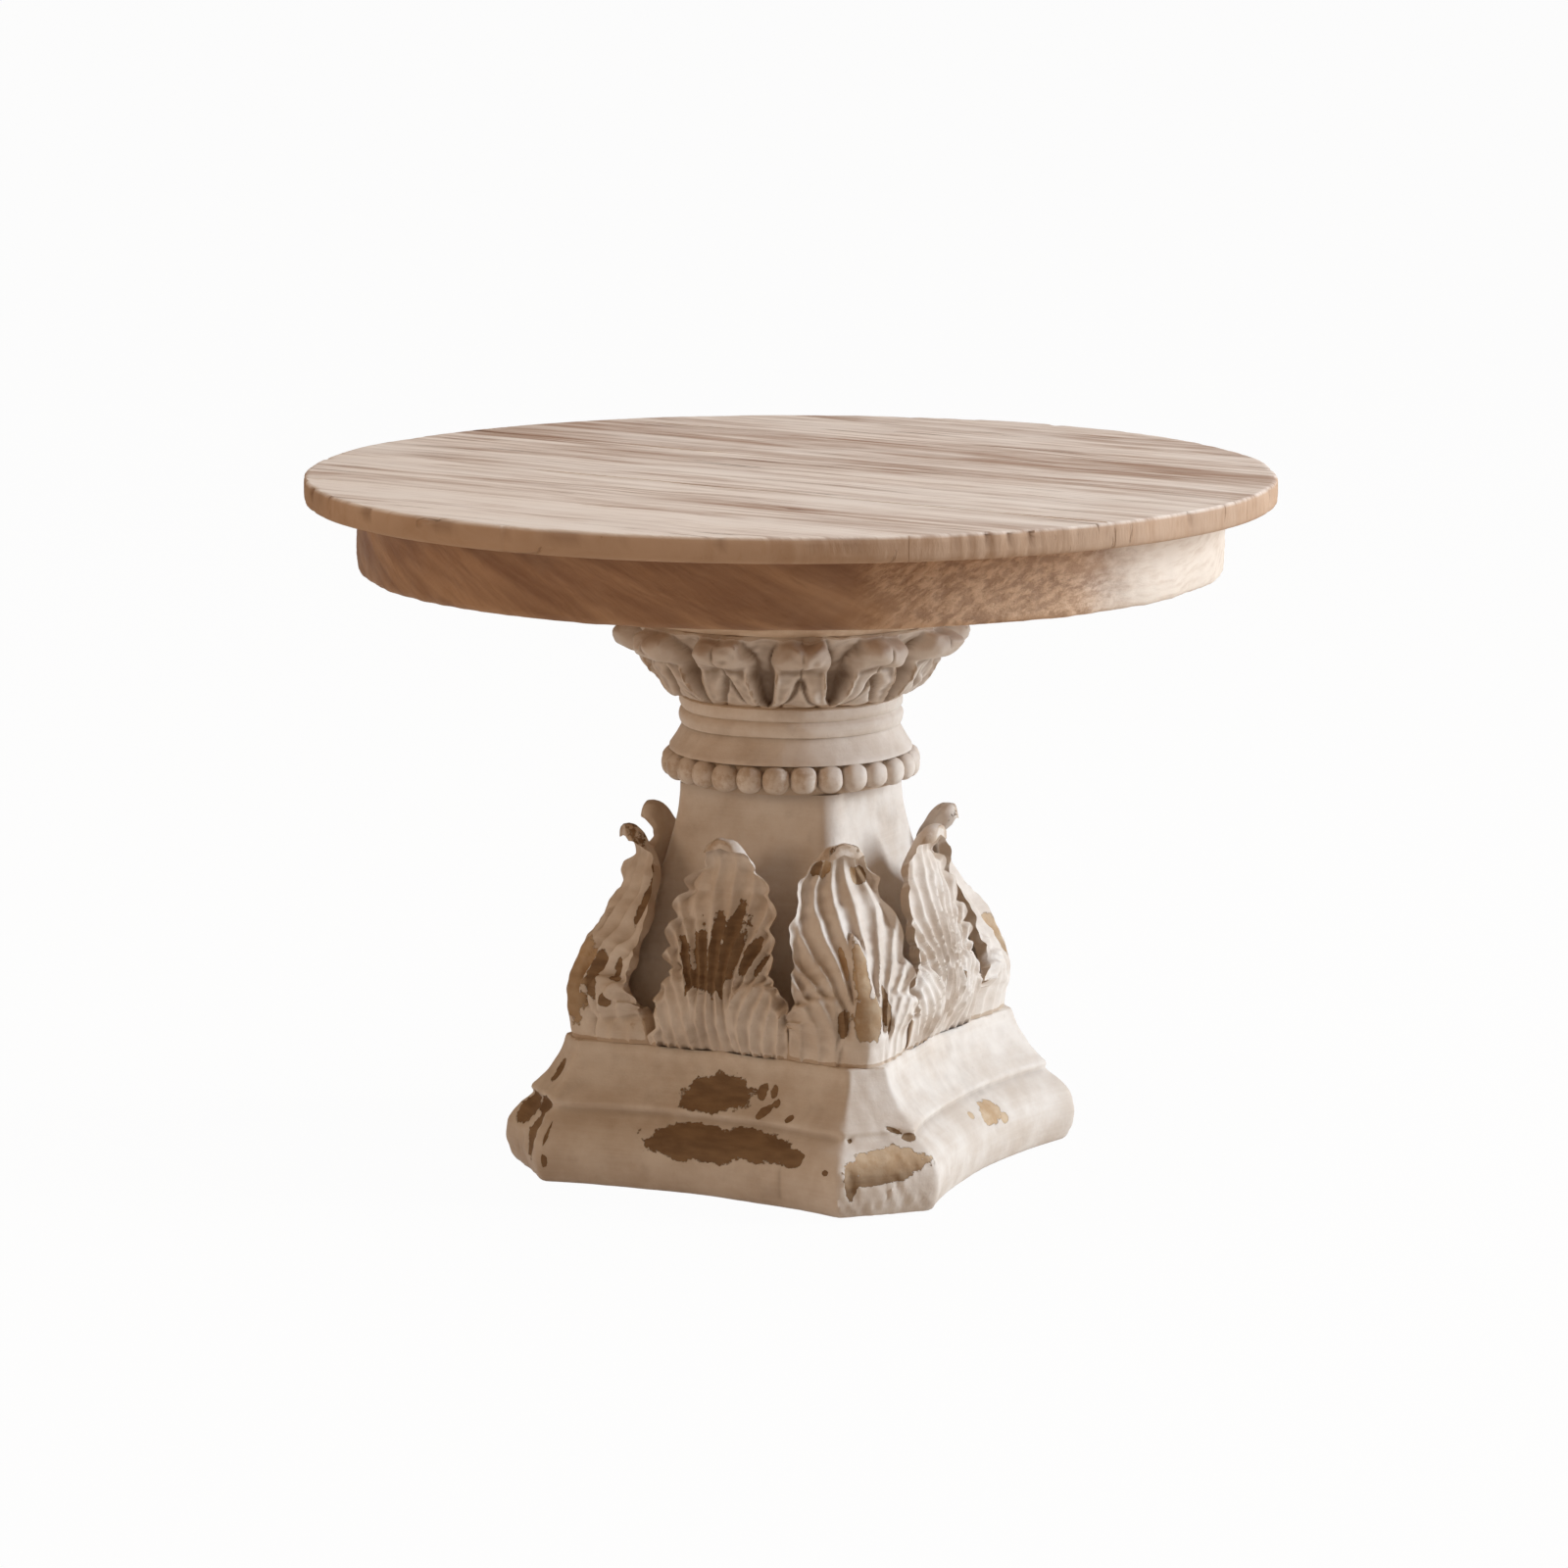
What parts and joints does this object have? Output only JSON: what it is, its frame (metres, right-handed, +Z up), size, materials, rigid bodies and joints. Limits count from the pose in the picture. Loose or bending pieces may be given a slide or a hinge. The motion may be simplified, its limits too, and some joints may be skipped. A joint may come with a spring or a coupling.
{
  "type": "display stand",
  "caption": "Low display stand: round boarded top with an apron on a carved, painted pedestal with a leaf capital, bead ring, acanthus leaves and a moulded plinth.",
  "frame": {"origin": "on the floor under the stand's axis", "axes": "+Z up the axis; the plinth's hollow sides face +X, -X, +Y and -Y"},
  "size_m": [0.305, 0.305, 0.2195],
  "materials": {
    "bleached_boards": "bleached, bare, worn",
    "brown_wood": "brown stain, matte",
    "tan_wood": "tan wash, matte",
    "cream_paint": "chalky cream paint over carved wood, flaked to the brown in patches",
    "steel": "zinc plated",
    "insert_brass": "plain",
    "felt": "brown felt"
  },
  "bodies": {
    "root": {"abacus": "tan_wood", "abacus_screws": "steel", "apron": "brown_wood", "bead_ring": "cream_paint", "board_screws": "steel", "capital": "cream_paint", "corner_leaf_1": "cream_paint", "corner_leaf_2": "cream_paint", "corner_leaf_3": "cream_paint", "corner_leaf_4": "cream_paint", "face_leaf_1": "cream_paint", "face_leaf_2": "cream_paint", "face_leaf_3": "cream_paint", "face_leaf_4": "cream_paint", "felt_pads": "felt", "neck_collar": "cream_paint", "plinth": "cream_paint", "rod_nut": "steel", "rod_washer": "steel", "shaft": "cream_paint", "threaded_insert": "insert_brass", "tie_rod": "steel", "top_board_1": "bleached_boards", "top_board_2": "bleached_boards", "top_board_3": "bleached_boards", "top_board_4": "bleached_boards", "top_board_5": "bleached_boards"}
  },
  "joints": []
}
